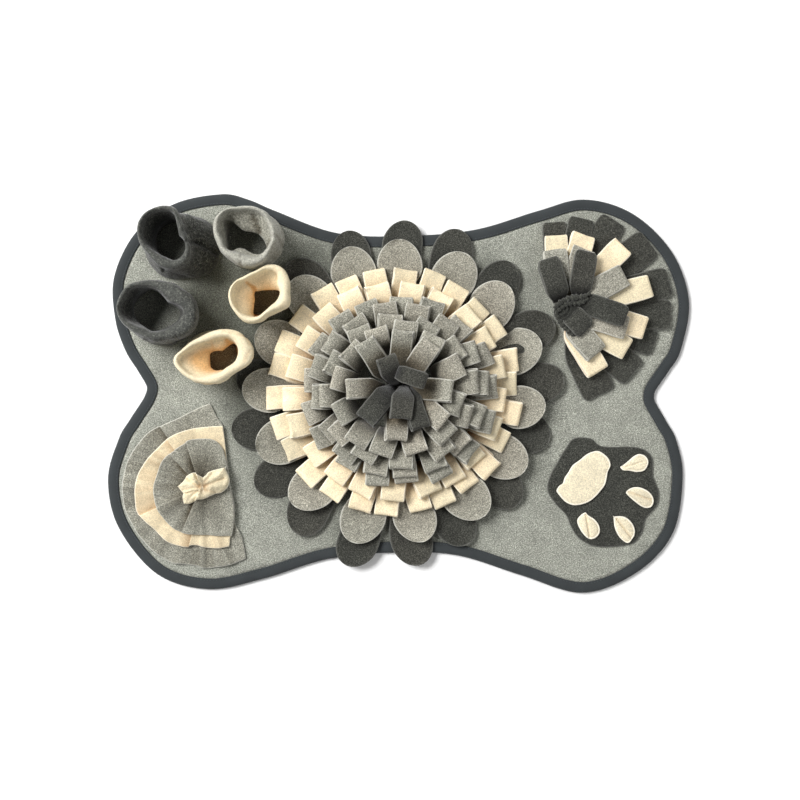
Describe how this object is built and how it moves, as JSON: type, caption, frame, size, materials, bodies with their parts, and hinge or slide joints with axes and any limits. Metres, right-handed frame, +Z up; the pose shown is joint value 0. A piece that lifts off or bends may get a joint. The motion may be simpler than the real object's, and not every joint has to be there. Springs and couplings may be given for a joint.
{
  "type": "snuffle mat",
  "caption": "Bone-shaped fleece snuffle mat with a bound edge, a raised flower of petals and folded strips, soft cups, a fan of strips, a layered skirt and a paw patch.",
  "frame": {"origin": "centre of the mat's bounding box, on the plane that it lies on", "axes": "+X along the mat's length, towards the corners with the fan and the paw; +Y towards the edge with the cups and the fan; +Z up"},
  "size_m": [0.649, 0.4453, 0.0722],
  "materials": {
    "pad": "mid-grey short-pile polyester fleece",
    "fleece_grey": "mid-grey brushed fleece, cut edges paler",
    "fleece_dark": "charcoal brushed fleece",
    "fleece_cream": "cream brushed fleece",
    "binding": "blue-charcoal woven binding tape, matt"
  },
  "bodies": {
    "root": {"base_mat": "pad", "edge_binding": "binding", "flower_petals_dark": "fleece_dark", "flower_petals_grey": "fleece_grey", "flower_loops_cream_outer": "fleece_cream", "flower_loops_cream_inner": "fleece_cream", "flower_loops_grey_1": "fleece_grey", "flower_loops_grey_2": "fleece_grey", "flower_loops_grey_3": "fleece_grey", "flower_loops_grey_4": "fleece_grey", "flower_loops_grey_5": "fleece_grey", "flower_loops_dark": "fleece_dark", "cup_dark_back": "fleece_dark", "cup_grey": "fleece_grey", "cup_dark_front": "fleece_dark", "cup_cream_back": "fleece_cream", "cup_cream_front": "fleece_cream", "fan_flaps_dark": "fleece_dark", "fan_loops_cream": "fleece_cream", "fan_loops_grey": "fleece_grey", "fan_loops_dark": "fleece_dark", "skirt_grey_outer": "fleece_grey", "skirt_cream": "fleece_cream", "skirt_grey_inner": "fleece_grey", "skirt_bow": "fleece_cream", "paw_patch": "fleece_dark", "paw_pad": "fleece_cream", "paw_toe_1": "fleece_cream", "paw_toe_2": "fleece_cream", "paw_toe_3": "fleece_cream", "paw_toe_4": "fleece_cream"}
  },
  "joints": []
}
